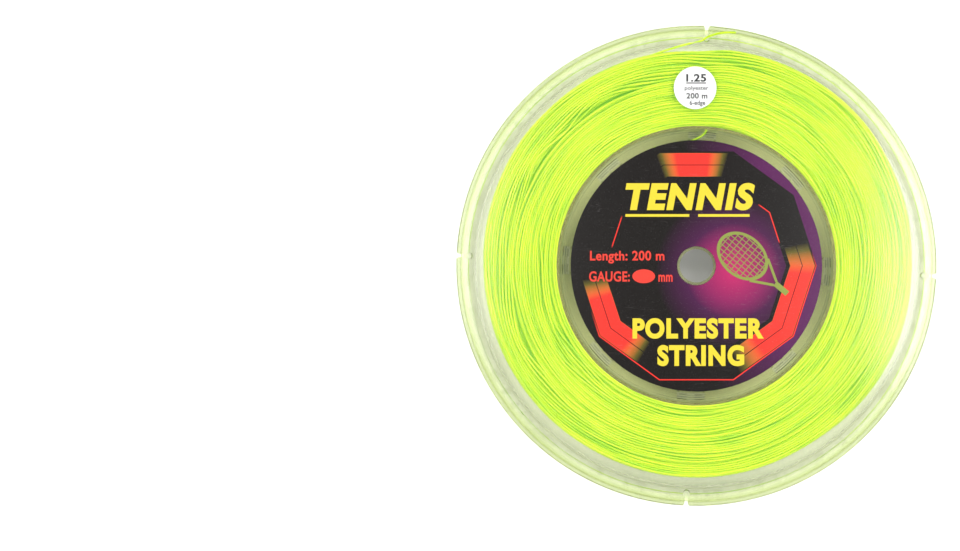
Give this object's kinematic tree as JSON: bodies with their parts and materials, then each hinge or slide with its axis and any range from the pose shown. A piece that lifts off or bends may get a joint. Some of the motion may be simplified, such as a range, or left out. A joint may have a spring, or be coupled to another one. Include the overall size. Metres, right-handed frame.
{
  "type": "string reel",
  "caption": "Clear plastic reel of lime-yellow tennis string, with a printed card hub label and a round gauge sticker.",
  "frame": {"origin": "on the reel's axis, in the plane that the rear rim rests on", "axes": "+Z along the axis towards the labelled front, +Y towards the keyhole that parks the string's free end"},
  "size_m": [0.27, 0.27, 0.0245],
  "materials": {
    "clear_plastic": "glossy, clear, tinted by the string",
    "string": "glossy twisted monofilament",
    "label_card": "coated print",
    "plain_card": "coated print",
    "sticker_paper": "matte"
  },
  "bodies": {
    "root": {"spool_rear_half": "clear_plastic", "spool_front_half": "clear_plastic", "string_winding": "string", "string_tail": "string", "string_inner_end": "string", "front_label": "label_card", "rear_label": "plain_card", "gauge_sticker": "sticker_paper"}
  },
  "joints": []
}
